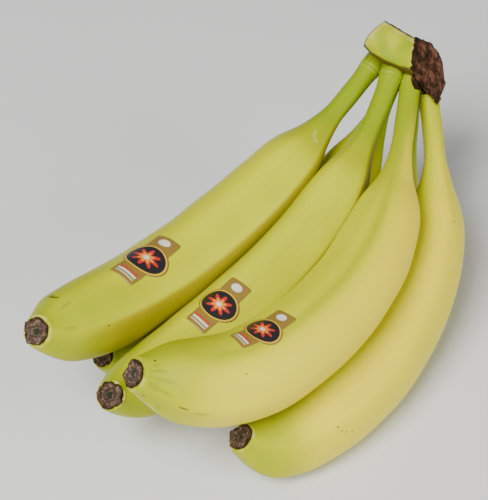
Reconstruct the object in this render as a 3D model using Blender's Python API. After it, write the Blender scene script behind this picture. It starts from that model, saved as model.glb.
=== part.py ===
"""Bunch of six bananas resting on the backs of its lower row, with three paper labels.

+Z is up, +X is to the right and +Y points away from a viewer who looks into the hollow of the
hand. The origin is on the resting plane, below the middle of the bunch. The bunch is built in
millimetres and scaled to metres when its meshes are made.
"""

from dataclasses import dataclass
from math import asin, atan2, cos, pi, radians, sin

import bmesh
import bpy
import numpy as np

MM = 0.001

# Fingers
STEM_RADIUS = 4.9
CURL_STATIONS = (0.0, 0.2, 0.42, 0.68, 1.0)
NOSE_START = 0.87
SHIFT_START = 0.80
SHIFT_END = 0.97
CENTRE_STEPS = 120
RIDGES = 5
RIDGE_HEIGHT = 0.022
RIDGE_SHIFT = 18.0
FINGER_SIDES = 20
SUNK_ROOT = -0.045
CAP_START = 0.985

# Rings along a finger: the end of each stretch and how many rings it has
RING_STRETCHES = ((0.16, 5), (0.38, 6), (0.84, 7), (CAP_START, 7))

# Blossom end: its radius, and each ring's distance before the tip and share of that radius
CAP_RADIUS = 5.6
CAP_RINGS = ((2.4, 1.0), (0.5, 1.0), (0.0, 0.88), (1.4, 0.5))

# Girth along a finger: station, share of the stem's radius, share of the belly's radius
GIRTH = (
    (SUNK_ROOT, 1.0, 0.0),
    (0.0, 1.12, 0.0),
    (0.05, 1.0, 0.0),
    (0.10, 1.0, 0.0),
    (0.16, 1.04, 0.0),
    (0.22, 0.79, 0.21),
    (0.29, 0.10, 0.70),
    (0.38, 0.0, 0.88),
    (0.50, 0.0, 0.95),
    (0.68, 0.0, 1.0),
    (0.82, 0.0, 0.97),
    (0.89, 0.0, 0.90),
    (0.94, 0.0, 0.75),
    (0.97, 0.0, 0.535),
    (CAP_START, 0.0, 0.42),
)

# How much of a finger's neck shift each station takes
NECK_STATIONS = (0.0, 0.10, 0.25, 0.60)
NECK_SHARES = (0.0, 0.6, 1.0, 0.0)

# Crown: its low edge and its top edge (across the row of stems, up from the stems) and its depth
CROWN_CENTRE = (69.6, 81.2, 86.2)
CROWN_ROW = (0.973, -0.220, -0.105)
CROWN_UP = (0.192, 0.581, 0.786)
CROWN_EDGES = (
    (-20.5, 8.2, -12.6, 22.2, 8.0),
    (-9.5, 1.8, -5.5, 19.8, 12.0),
    (2.5, -0.4, 2.0, 17.4, 11.5),
    (9.5, -4.2, 10.5, 15.8, 11.0),
    (15.0, -8.0, 17.0, 9.0, 9.5),
    (19.0, -11.5, 21.0, -1.5, 5.5),
)
CROWN_RINGS = 11
CROWN_SIDES = 16
CROWN_SQUARENESS = 4.0

# Labels
LABEL_LENGTH = 33.0
LABEL_WIDTH = 12.0
LABEL_DISC = 19.0
LABEL_THICKNESS = 0.6
LABEL_GAP = 0.35
LABEL_QUARTER = (2, 3, 5)
LABEL_RINGS = 3

# The backs of the lower fingers dip half a millimetre below the resting plane and are cut flat on it
FLOOR_BLOCK = 400.0


@dataclass(frozen=True)
class Finger:
    """One banana: where its stem starts, which way it sets off, how it curls and how it ends.

    Lengths are in millimetres and angles in degrees. The curl is the turn that a whole finger
    would make at the rate it has at each of CURL_STATIONS. The nose bends by its own angle,
    toward an angle counted round the finger from the hollow side, and it is shifted toward the
    hollow side and sideways. The neck is how much further along the neck sits, as a share of
    the length.
    """

    root: tuple
    heading: float
    dive: float
    twist: float
    curl: tuple
    nose: float
    nose_toward: float
    nose_shift: tuple
    length: float
    girth: float
    neck: float


FINGERS = {
    "upper_left": Finger(
        root=(55.9, 85.8, 87.7), heading=-131.8, dive=27.3, twist=1.3, curl=(58, 24, 48, 70, 19),
        nose=29.0, nose_toward=-13, nose_shift=(-3.3, 4.9), length=221.2, girth=18.5, neck=-0.019,
    ),
    "upper_middle": Finger(
        root=(64.2, 78.1, 89.8), heading=-109.7, dive=31.3, twist=46.9, curl=(76, 30, 63, 33, 75),
        nose=58.4, nose_toward=-66, nose_shift=(-2.5, 7.0), length=213.5, girth=17.2, neck=-0.006,
    ),
    "upper_right": Finger(
        root=(74.0, 80.5, 86.6), heading=-99.7, dive=18.0, twist=67.2, curl=(-4, 22, 105, 79, 324),
        nose=39.4, nose_toward=-135, nose_shift=(3.2, 3.6), length=237.2, girth=19.4, neck=0.032,
    ),
    "lower_right": Finger(
        root=(82.2, 79.2, 77.1), heading=-82.6, dive=31.8, twist=71.9, curl=(15, 71, 91, 85, 261),
        nose=38.8, nose_toward=-76, nose_shift=(-4.2, 2.4), length=222.3, girth=18.1, neck=-0.012,
    ),
    "lower_left": Finger(
        root=(68.4, 89.8, 87.8), heading=-117.2, dive=51.4, twist=28.3, curl=(58, 83, 67, 88, 65),
        nose=23.8, nose_toward=-44, nose_shift=(0.0, 2.9), length=220.2, girth=18.1, neck=-0.052,
    ),
    "lower_middle": Finger(
        root=(74.9, 88.1, 76.6), heading=-88.4, dive=55.3, twist=42.2, curl=(59, 102, 110, 69, 44),
        nose=10.6, nose_toward=0, nose_shift=(0.0, 0.0), length=189.5, girth=17.3, neck=0.019,
    ),
}


@dataclass(frozen=True)
class Label:
    """A paper label: its finger, its middle along and round it, its turn and its size."""

    node: str
    finger: str
    station: float
    around: float
    turn: float
    size: float


LABELS = (
    Label("label_left", "upper_left", station=0.741, around=-4.2, turn=-5.0, size=1.08),
    Label("label_middle", "upper_middle", station=0.727, around=-42.8, turn=-2.0, size=0.94),
    Label("label_right", "upper_right", station=0.756, around=-52.0, turn=-1.0, size=0.92),
)


def smooth_curve(knots, values, at):
    """Read values between knots along a curve whose slope is continuous."""
    knots = np.asarray(knots, float)
    values = np.asarray(values, float)
    slope = np.gradient(values, knots)
    span = np.clip(np.searchsorted(knots, at, side="right") - 1, 0, len(knots) - 2)
    width = knots[span + 1] - knots[span]
    share = np.clip((at - knots[span]) / width, 0.0, 1.0)
    start = (1 + 2 * share) * (1 - share) ** 2
    leave = share * (1 - share) ** 2
    arrive = share**2 * (share - 1)
    end = share**2 * (3 - 2 * share)
    return (start * values[span] + end * values[span + 1]
            + width * (leave * slope[span] + arrive * slope[span + 1]))


class Body:
    """The smooth body of a finger, which its mesh and its label are read from."""

    def __init__(self, finger):
        self.finger = finger
        heading = radians(finger.heading)
        dive = radians(finger.dive)
        twist = radians(finger.twist)
        ahead = np.array([cos(dive) * cos(heading), cos(dive) * sin(heading), -sin(dive)])
        above = np.array([0.0, 0.0, 1.0]) - ahead * ahead[2]
        above /= np.linalg.norm(above)
        inward = cos(twist) * above + sin(twist) * np.cross(ahead, above)
        self.steps = np.linspace(0.0, 1.0, CENTRE_STEPS + 1)
        rate = np.radians(np.interp(self.steps, CURL_STATIONS, finger.curl))
        turn = np.concatenate([[0.0], np.cumsum((rate[1:] + rate[:-1]) / 2)]) / CENTRE_STEPS
        curl_cos = np.cos(turn)[:, None]
        curl_sin = np.sin(turn)[:, None]
        run = curl_cos * ahead + curl_sin * inward
        hollow = curl_cos * inward - curl_sin * ahead
        side = np.broadcast_to(np.cross(ahead, inward), run.shape)
        self.run, self.hollow, self.side = self.bend_nose(run, hollow, side)
        hops = (self.run[1:] + self.run[:-1]) / 2 * finger.length / CENTRE_STEPS
        path = np.array(finger.root) + np.concatenate([np.zeros((1, 3)), np.cumsum(hops, axis=0)])
        shift = np.clip((self.steps - SHIFT_START) / (SHIFT_END - SHIFT_START), 0.0, 1.0)
        shift = (shift * shift * (3 - 2 * shift))[:, None]
        toward_hollow, toward_side = finger.nose_shift
        self.path = path + shift * (toward_hollow * self.hollow + toward_side * self.side)

    def bend_nose(self, *directions):
        """Turn directions along the finger, the more the nearer they are to the tip."""
        run, hollow, side = directions
        share = np.clip((self.steps - NOSE_START) / (1.0 - NOSE_START), 0.0, 1.0)
        angle = radians(self.finger.nose) * share**2
        first = np.argmax(share > 0.0)
        toward = radians(self.finger.nose_toward)
        axis = np.cross(run[first], cos(toward) * hollow[first] + sin(toward) * side[first])
        bend_cos = np.cos(angle)[:, None]
        bend_sin = np.sin(angle)[:, None]
        return [line * bend_cos + np.cross(axis, line) * bend_sin
                + axis * (line @ axis)[:, None] * (1 - bend_cos) for line in directions]

    def read(self, values, station):
        """Read a position or a direction between the steps."""
        return np.stack([np.interp(station, self.steps, values[:, axis]) for axis in range(3)], -1)

    def centre(self, station):
        """Return the centreline's point at each station; before 0 it runs on straight."""
        before = np.minimum(station, 0.0)[..., None] * self.finger.length * self.run[0]
        return self.read(self.path, station) + before

    def outward(self, station, around):
        """Return the direction away from the centreline."""
        out = (np.cos(around)[..., None] * self.read(self.hollow, station)
               + np.sin(around)[..., None] * self.read(self.side, station))
        return out / np.linalg.norm(out, axis=-1, keepdims=True)

    def girth(self, station, around):
        """Return the radius at a station and an angle in radians from the hollow side."""
        rows = np.array(GIRTH)
        radius = rows[:, 1] * STEM_RADIUS + rows[:, 2] * self.finger.girth
        knots = rows[:, 0] + self.finger.neck * np.interp(rows[:, 0], NECK_STATIONS, NECK_SHARES)
        plain = smooth_curve(knots, radius, station)
        ridge = RIDGE_HEIGHT * np.cos(RIDGES * (around - radians(RIDGE_SHIFT)))
        return plain * (1 + ridge)

    def surface(self, station, around, lift=0.0):
        """Return points on the skin, or lifted off it by a distance."""
        reach = self.girth(station, around) + lift
        return self.centre(station) + reach[..., None] * self.outward(station, around)


def remove_everything():
    """Start from an empty file."""
    for thing in list(bpy.data.objects):
        bpy.data.objects.remove(thing, do_unlink=True)


def make_material(name, colour, roughness):
    """Return a plain Principled material."""
    material = bpy.data.materials.new(name)
    material.use_nodes = True
    shader = material.node_tree.nodes["Principled BSDF"]
    shader.inputs["Base Color"].default_value = (*colour, 1.0)
    shader.inputs["Roughness"].default_value = roughness
    shader.inputs["Metallic"].default_value = 0.0
    return material


def make_object(name, points, faces, material):
    """Make one object from points in millimetres and turn its faces outward."""
    mesh = bpy.data.meshes.new(name)
    mesh.from_pydata((np.asarray(points) * MM).tolist(), [], faces)
    shape = bmesh.new()
    shape.from_mesh(mesh)
    bmesh.ops.recalc_face_normals(shape, faces=shape.faces)
    shape.to_mesh(mesh)
    shape.free()
    mesh.shade_smooth()
    mesh.materials.append(material)
    thing = bpy.data.objects.new(name, mesh)
    bpy.context.scene.collection.objects.link(thing)
    return thing


def tube_faces(rings, sides):
    """Return the faces of a tube whose first and last ring close on one point each."""
    faces = []
    for ring in range(rings - 1):
        for side in range(sides):
            a = ring * sides + side
            b = ring * sides + (side + 1) % sides
            faces.append((a, b, b + sides, a + sides))
    first = rings * sides
    for side in range(sides):
        after = (side + 1) % sides
        faces.append((first, after, side))
        faces.append((first + 1, (rings - 1) * sides + side, (rings - 1) * sides + after))
    return faces


def make_finger(name, body, material):
    """Make one banana with its sunk root and its dished blossom tip."""
    around = np.arange(FINGER_SIDES) * 2 * pi / FINGER_SIDES
    stretches = []
    start = SUNK_ROOT
    for end, count in RING_STRETCHES:
        stretches.append(np.linspace(start, end, count, endpoint=False))
        start = end
    skin = np.concatenate([*stretches, [CAP_START]])
    rings = [body.surface(np.full(FINGER_SIDES, station), around) for station in skin]
    for before, share in CAP_RINGS:
        station = np.full(FINGER_SIDES, 1.0 - before / body.finger.length)
        rings.append(body.centre(station) + CAP_RADIUS * share * body.outward(station, around))
    last = 1.0 - CAP_RINGS[-1][0] / body.finger.length
    points = np.concatenate([*rings, body.centre(np.array([SUNK_ROOT, last]))])
    return make_object(name, points, tube_faces(len(rings), FINGER_SIDES), material)


def make_crown(material):
    """Make the crown that the stems grow from, lofted along the row of stems."""
    rows = np.array(CROWN_EDGES)
    along = np.arange(len(rows))
    at = np.linspace(0, len(rows) - 1, CROWN_RINGS)
    low_row, low_up, top_row, top_up, depth = (smooth_curve(along, rows[:, i], at) for i in range(5))
    row = np.array(CROWN_ROW)
    up = np.array(CROWN_UP)
    front = np.cross(row, up)
    low = low_row[:, None] * row + low_up[:, None] * up
    top = top_row[:, None] * row + top_up[:, None] * up
    around = np.arange(CROWN_SIDES) * 2 * pi / CROWN_SIDES
    power = 2.0 / CROWN_SQUARENESS
    lift = np.sign(np.cos(around)) * np.abs(np.cos(around)) ** power
    reach = np.sign(np.sin(around)) * np.abs(np.sin(around)) ** power
    middle = (low + top) / 2
    half = (top - low) / 2
    rings = (middle[:, None] + lift[None, :, None] * half[:, None]
             + (reach[None, :] * depth[:, None])[..., None] * front)
    points = np.concatenate([rings.reshape(-1, 3), middle[[0, -1]]]) + np.array(CROWN_CENTRE)
    return make_object("banana_hand", points, tube_faces(CROWN_RINGS, CROWN_SIDES), material)


def apply_boolean(target, operation, **operand):
    """Add an exact Boolean to an object and apply it."""
    modifier = target.modifiers.new("boolean", "BOOLEAN")
    modifier.operation = operation
    modifier.solver = "EXACT"
    for field, value in operand.items():
        setattr(modifier, field, value)
    graph = bpy.context.evaluated_depsgraph_get()
    result = bpy.data.meshes.new_from_object(target.evaluated_get(graph))
    target.modifiers.clear()
    target.data = result


def make_hand(bodies, material):
    """Fuse the crown and the fingers into one body and cut its resting flats."""
    hand = make_crown(material)
    group = bpy.data.collections.new("fingers")
    bpy.context.scene.collection.children.link(group)
    for name, body in bodies.items():
        finger = make_finger(name, body, material)
        bpy.context.scene.collection.objects.unlink(finger)
        group.objects.link(finger)
    apply_boolean(hand, "UNION", operand_type="COLLECTION", collection=group)
    for finger in list(group.objects):
        bpy.data.objects.remove(finger, do_unlink=True)
    bpy.data.collections.remove(group)
    floor = make_floor_block(material)
    apply_boolean(hand, "DIFFERENCE", operand_type="OBJECT", object=floor)
    bpy.data.objects.remove(floor, do_unlink=True)
    hand.data.shade_smooth()
    return hand


def make_floor_block(material):
    """Make the block whose top is the resting plane."""
    shape = bmesh.new()
    bmesh.ops.create_cube(shape, size=FLOOR_BLOCK * MM)
    bmesh.ops.translate(shape, verts=shape.verts, vec=(0.0, 0.0, -FLOOR_BLOCK * MM / 2))
    mesh = bpy.data.meshes.new("floor_block")
    shape.to_mesh(mesh)
    shape.free()
    mesh.materials.append(material)
    block = bpy.data.objects.new("floor_block", mesh)
    block.hide_render = True
    block.display_type = "WIRE"
    bpy.context.scene.collection.objects.link(block)
    return block


def label_outline():
    """Return the angles and the reach of a label's edge: a strip crossed by a round disc."""
    corner = atan2(LABEL_WIDTH, LABEL_LENGTH)
    meeting = asin(LABEL_WIDTH / LABEL_DISC)
    end, strip, disc = LABEL_QUARTER
    quarter = np.concatenate([
        np.linspace(0.0, corner, end + 1)[:-1],
        np.linspace(corner, meeting, strip + 1)[:-1],
        np.linspace(meeting, pi / 2, disc + 1),
    ])
    half = np.concatenate([quarter, pi - quarter[-2::-1]])
    angle = np.concatenate([half, half[1:-1] + pi])
    along = LABEL_LENGTH / 2 / np.maximum(np.abs(np.cos(angle)), 1e-6)
    across = LABEL_WIDTH / 2 / np.maximum(np.abs(np.sin(angle)), 1e-6)
    return angle, np.maximum(np.minimum(along, across), LABEL_DISC / 2)


def make_label(label, body, material):
    """Make one paper label that follows the skin of its finger."""
    angle, edge = label_outline()
    share = np.linspace(0.0, 1.0, LABEL_RINGS + 1)[1:]
    reach = share[:, None] * edge * label.size
    turned = angle + radians(label.turn)
    along = np.concatenate([[0.0], (reach * np.cos(turned)).ravel()])
    across = np.concatenate([[0.0], (reach * np.sin(turned)).ravel()])
    station = label.station + along / body.finger.length
    around = radians(label.around) + across / body.finger.girth
    under = body.surface(station, around, LABEL_GAP)
    over = body.surface(station, around, LABEL_GAP + LABEL_THICKNESS)
    points = np.concatenate([under, over])
    upper = len(under)
    count = len(angle)
    faces = []
    for side in range(count):
        after = (side + 1) % count
        for base in (0, upper):
            faces.append((base, base + 1 + side, base + 1 + after))
            for ring in range(LABEL_RINGS - 1):
                first = base + 1 + ring * count
                faces.append((first + side, first + after, first + count + after, first + count + side))
        rim = 1 + (LABEL_RINGS - 1) * count
        faces.append((rim + side, rim + after, upper + rim + after, upper + rim + side))
    return make_object(label.node, points, faces, material)


def main():
    """Build the bunch."""
    remove_everything()
    peel = make_material("peel", (0.74, 0.68, 0.09), 0.45)
    paper = make_material("paper", (0.33, 0.20, 0.07), 0.4)
    bodies = {name: Body(finger) for name, finger in FINGERS.items()}
    make_hand(bodies, peel)
    for label in LABELS:
        make_label(label, bodies[label.finger], paper)


main()
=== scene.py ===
"""Looks of a bunch of six bananas: peel, blossom ends, torn crown and paper labels.

Lengths are in millimetres and are scaled to metres when a mesh is made. A finger's surface is a
function of its station, from 0 at the crown to 1 at the blossom end, and of the angle round it,
counted from the hollow side.
"""

import logging
from collections.abc import Callable, Sequence
from dataclasses import dataclass
from enum import Enum
from math import pi, radians
from typing import Any

import bpy
import numpy as np
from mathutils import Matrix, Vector


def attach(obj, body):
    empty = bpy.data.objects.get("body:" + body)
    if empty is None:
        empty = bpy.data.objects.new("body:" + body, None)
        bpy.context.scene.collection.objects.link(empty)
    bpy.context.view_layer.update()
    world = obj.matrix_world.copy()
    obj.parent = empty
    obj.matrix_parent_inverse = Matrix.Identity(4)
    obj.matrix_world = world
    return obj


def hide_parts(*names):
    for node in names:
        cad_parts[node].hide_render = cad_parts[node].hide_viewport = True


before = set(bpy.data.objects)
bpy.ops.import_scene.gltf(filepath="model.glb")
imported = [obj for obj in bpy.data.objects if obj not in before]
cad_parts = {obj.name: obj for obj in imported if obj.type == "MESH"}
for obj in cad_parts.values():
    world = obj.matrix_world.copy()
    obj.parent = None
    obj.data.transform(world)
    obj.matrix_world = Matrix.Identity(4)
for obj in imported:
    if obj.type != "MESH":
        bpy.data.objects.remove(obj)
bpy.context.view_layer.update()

LOG = logging.getLogger("bananas")
MM = 0.001
Array = np.ndarray
Colour = tuple[float, float, float]


def smooth_curve(knots: Sequence[float], values: Sequence[float], at: Array) -> Array:
    """Read values between knots along a curve whose slope is continuous.

    Between two knots the curve is the cubic that has their values and their slopes, and a
    knot's slope is the gradient of the values round it.

    Args:
        knots: Rising positions.
        values: The value at each knot.
        at: The positions to read.

    Returns:
        The value at each position, held at the ends.
    """
    knots = np.asarray(knots, float)
    values = np.asarray(values, float)
    slope = np.gradient(values, knots)
    span = np.clip(np.searchsorted(knots, at, side="right") - 1, 0, len(knots) - 2)
    width = knots[span + 1] - knots[span]
    share = np.clip((at - knots[span]) / width, 0.0, 1.0)
    start = (1 + 2 * share) * (1 - share) ** 2
    leave = share * (1 - share) ** 2
    arrive = share**2 * (share - 1)
    end = share**2 * (3 - 2 * share)
    return (start * values[span] + end * values[span + 1]
            + width * (leave * slope[span] + arrive * slope[span + 1]))


def ease(low: float, high: float, at: Array) -> Array:
    """Rise smoothly from 0 at low to 1 at high, as 3t squared less 2t cubed."""
    share = np.clip((at - low) / (high - low), 0.0, 1.0)
    return share * share * (3 - 2 * share)


def bell(at: Array, centre: float, width: float) -> Array:
    """Return a bump of height 1, as e to the power of minus the squared distance in widths."""
    return np.exp(-(((at - centre) / width) ** 2))


@dataclass(frozen=True)
class Waves:
    """Smooth random relief: a sum of sine waves with seeded directions and phases.

    A wave's value is the sine of two pi times the point's distance along the wave's direction
    over its length, plus its phase. The sum is scaled to a spread of about 1.
    """

    seed: int
    length: float | Sequence[float]
    count: int = 28

    def at(self, points: Array) -> Array:
        """Return the relief at each point.

        Args:
            points: Positions in millimetres, in the last axis.

        Returns:
            One number a point, mostly between -2 and 2.
        """
        random = np.random.default_rng(self.seed)
        turn = random.normal(size=(self.count, 3))
        turn /= np.linalg.norm(turn, axis=1, keepdims=True)
        pace = random.uniform(0.6, 1.6, (self.count, 1))
        phase = random.uniform(0.0, 2 * pi, self.count)
        waves = np.sin(points @ (turn * pace * 2 * pi / np.asarray(self.length)).T + phase)
        return waves.sum(-1) * np.sqrt(2.0 / self.count)


def circle(sides: int) -> Array:
    """Return evenly spaced angles round a full turn."""
    return np.arange(sides) * 2 * pi / sides


def tube_faces(rings: int, sides: int) -> list[tuple[int, ...]]:
    """Return the faces of a tube whose first and last ring close on one point each.

    Args:
        rings: How many rings the tube has.
        sides: How many points a ring has.

    Returns:
        The faces, as tuples of point numbers. The two end points follow the rings.
    """
    ring, side = np.meshgrid(np.arange(rings - 1), np.arange(sides), indexing="ij")
    a = ring * sides + side
    b = ring * sides + (side + 1) % sides
    quads = np.stack([a, b, b + sides, a + sides], -1).reshape(-1, 4)
    side = np.arange(sides)
    after = (side + 1) % sides
    first = np.full(sides, rings * sides)
    last = (rings - 1) * sides
    fans = np.concatenate([np.stack([first, after, side], -1),
                           np.stack([first + 1, last + side, last + after], -1)])
    return [*map(tuple, quads.tolist()), *map(tuple, fans.tolist())]


def add_object(name: str, content: bpy.types.ID) -> bpy.types.Object:
    """Put a mesh, a light or a camera into the scene."""
    thing = bpy.data.objects.new(name, content)
    bpy.context.scene.collection.objects.link(thing)
    return thing


def make_piece(name: str, points: Array, faces: list[tuple[int, ...]], material: bpy.types.Material,
               marks: dict[str, Array]) -> bpy.types.Object:
    """Make one smooth piece at the origin.

    Args:
        name: The piece's name.
        points: Positions in millimetres.
        faces: Tuples of point numbers.
        material: Its material.
        marks: Values for each point that the material reads, as numbers or as vectors.

    Returns:
        The new object.
    """
    mesh = bpy.data.meshes.new(name)
    mesh.from_pydata((points * MM).tolist(), [], faces)
    for mark, values in marks.items():
        vector = np.ndim(values) == 2
        layer = mesh.attributes.new(mark, "FLOAT_VECTOR" if vector else "FLOAT", "POINT")
        numbers = np.ascontiguousarray(values, np.float32).ravel()
        layer.data.foreach_set("vector" if vector else "value", numbers)
    mesh.shade_smooth()
    mesh.materials.append(material)
    return add_object(name, mesh)


def operation(kind: str, turned: bool = False) -> Callable[..., "Wire"]:
    """Return a method of a wire that adds one Math node.

    Args:
        kind: The node's operation.
        turned: Whether the wire comes last, as in a number less a wire.

    Returns:
        The method, which takes the other operand if there is one.
    """
    def method(wire: "Wire", *others: Any) -> "Wire":
        """Add the node."""
        return wire.math(kind, *others, wire) if turned else wire.math(kind, wire, *others)
    return method


class Wire:
    """A socket on which arithmetic adds Math nodes."""

    def __init__(self, tree: "ShaderTree", socket: bpy.types.NodeSocket) -> None:
        """Wrap a socket."""
        self.tree = tree
        self.socket = socket

    def math(self, operation: str, *values: Any) -> "Wire":
        """Return the result of a Math node that is fed with values."""
        return self.tree.wire("ShaderNodeMath", {"operation": operation}, dict(enumerate(values)))

    __add__ = __radd__ = operation("ADD")
    __sub__ = operation("SUBTRACT")
    __rsub__ = operation("SUBTRACT", turned=True)
    __mul__ = __rmul__ = operation("MULTIPLY")
    __truediv__ = operation("DIVIDE")
    __abs__ = operation("ABSOLUTE")
    power = operation("POWER")
    least = operation("MINIMUM")
    most = operation("MAXIMUM")

    def rise(self, low: float, high: float) -> "Wire":
        """Return 0 below low and 1 above high, with a smooth rise between."""
        return self.tree.wire("ShaderNodeMapRange", {"interpolation_type": "SMOOTHSTEP"},
                              {"Value": self, "From Min": low, "From Max": high}, "Result")

    def within(self, limit: Any, blur: float = 0.08) -> "Wire":
        """Return 1 below a limit and 0 above it, with an edge that is blurred on both sides."""
        return 1 - (self - limit).rise(-blur, blur)


class ShaderTree:
    """Builds one material's nodes."""

    def __init__(self, name: str) -> None:
        """Start an empty material with an output."""
        self.material = bpy.data.materials.new(name)
        self.material.use_nodes = True
        self.material.node_tree.nodes.clear()

    def node(self, kind: str, settings: dict[str, Any], sockets: dict[Any, Any]) -> bpy.types.ShaderNode:
        """Add a node, set it and feed it.

        Args:
            kind: The node's type.
            settings: Its properties, or the stops of a ramp under "stops".
            sockets: A value or a wire for each input, by name or number.

        Returns:
            The node.
        """
        node = self.material.node_tree.nodes.new(kind)
        for setting, value in settings.items():
            if setting == "stops":
                self.set_stops(node.color_ramp, value)
            else:
                setattr(node, setting, value)
        for key, value in sockets.items():
            if isinstance(value, Wire):
                self.material.node_tree.links.new(value.socket, node.inputs[key])
            else:
                node.inputs[key].default_value = value
        return node

    def wire(self, kind: str, settings: dict[str, Any], sockets: dict[Any, Any], output: Any = 0) -> Wire:
        """Add a node and return one of its outputs."""
        return Wire(self, self.node(kind, settings, sockets).outputs[output])

    @staticmethod
    def set_stops(ramp: bpy.types.ColorRamp, stops: Sequence[tuple[float, Colour]]) -> None:
        """Give a ramp its stops."""
        while len(ramp.elements) < len(stops):
            ramp.elements.new(0.5)
        for element, (position, colour) in zip(ramp.elements, stops):
            element.position = position
            element.color = (*colour, 1.0)

    def mark(self, name: str) -> Wire:
        """Read a number that the mesh carries."""
        return self.wire("ShaderNodeAttribute", {"attribute_name": name}, {}, "Fac")

    def place(self, name: str) -> Wire:
        """Read a position that the mesh carries."""
        return self.wire("ShaderNodeAttribute", {"attribute_name": name}, {}, "Vector")

    def spread(self, where: Wire, scale: tuple[float, float, float]) -> Wire:
        """Scale a position along each axis."""
        return self.wire("ShaderNodeVectorMath", {"operation": "MULTIPLY"}, {0: where, 1: scale})

    def noise(self, where: Wire, scale: float, detail: float, rough: float) -> Wire:
        """Return cloudy noise from 0 to 1 with its middle at one half."""
        sockets = {"Vector": where, "Scale": scale, "Detail": detail, "Roughness": rough}
        return self.wire("ShaderNodeTexNoise", {}, sockets, "Fac")

    def cells(self, where: Wire) -> tuple[Wire, Wire]:
        """Return the distance to the nearest seed point and a random number for its cell."""
        node = self.node("ShaderNodeTexVoronoi", {}, {"Vector": where, "Scale": 1.0})
        parts = self.node("ShaderNodeSeparateColor", {}, {0: Wire(self, node.outputs["Color"])})
        return Wire(self, node.outputs["Distance"]), Wire(self, parts.outputs[0])

    def axes(self, where: Wire) -> tuple[Wire, Wire, Wire]:
        """Split a position into its three numbers."""
        node = self.node("ShaderNodeSeparateXYZ", {}, {0: where})
        return tuple(Wire(self, output) for output in node.outputs)

    def mix(self, share: Any, *colours: Any) -> Wire:
        """Mix two colours, each a wire or three numbers."""
        first, second = (colour if isinstance(colour, Wire) else (*colour, 1.0) for colour in colours)
        return self.wire("ShaderNodeMix", {"data_type": "RGBA"}, {0: share, 6: first, 7: second}, 2)

    def layers(self, colour: Any, *layers: tuple[Any, Any]) -> Wire:
        """Lay colours over a first one, each with the share that it covers."""
        for cover, tint in layers:
            colour = self.mix(cover, colour, tint)
        return colour

    def ramp(self, at: Wire, stops: Sequence[tuple[float, Colour]]) -> Wire:
        """Turn a number into a colour."""
        return self.wire("ShaderNodeValToRGB", {"stops": stops}, {0: at}, "Color")

    def finish(self, colour: Wire, roughness: Any, height: Wire, relief: float,
               fixed: dict[str, Any]) -> bpy.types.Material:
        """Close the tree with one shader.

        Args:
            colour: The base colour.
            roughness: A wire or a number.
            height: The fine relief, in units of relief.
            relief: How tall a height of 1 is, in metres.
            fixed: The shader's constant values.

        Returns:
            The material.
        """
        bump = self.wire("ShaderNodeBump", {}, {"Height": height, "Distance": relief, "Strength": 1.0})
        shader = self.wire("ShaderNodeBsdfPrincipled", {}, {
            "Base Color": colour, "Roughness": roughness, "Normal": bump, **fixed})
        self.node("ShaderNodeOutputMaterial", {}, {"Surface": shader})
        return self.material


class BlemishKind(Enum):
    """What a small mark on the skin looks like."""

    SCRATCH = "scratch"
    SPOT = "spot"
    BRUISE = "bruise"
    # A painted highlight: a pale cream mark where light catches the skin.
    PAINTED_HIGHLIGHT = "painted_highlight"
    # A painted highlight: a pale line where light catches a ridge's edge.
    RIDGE_HIGHLIGHT = "ridge highlight"


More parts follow.
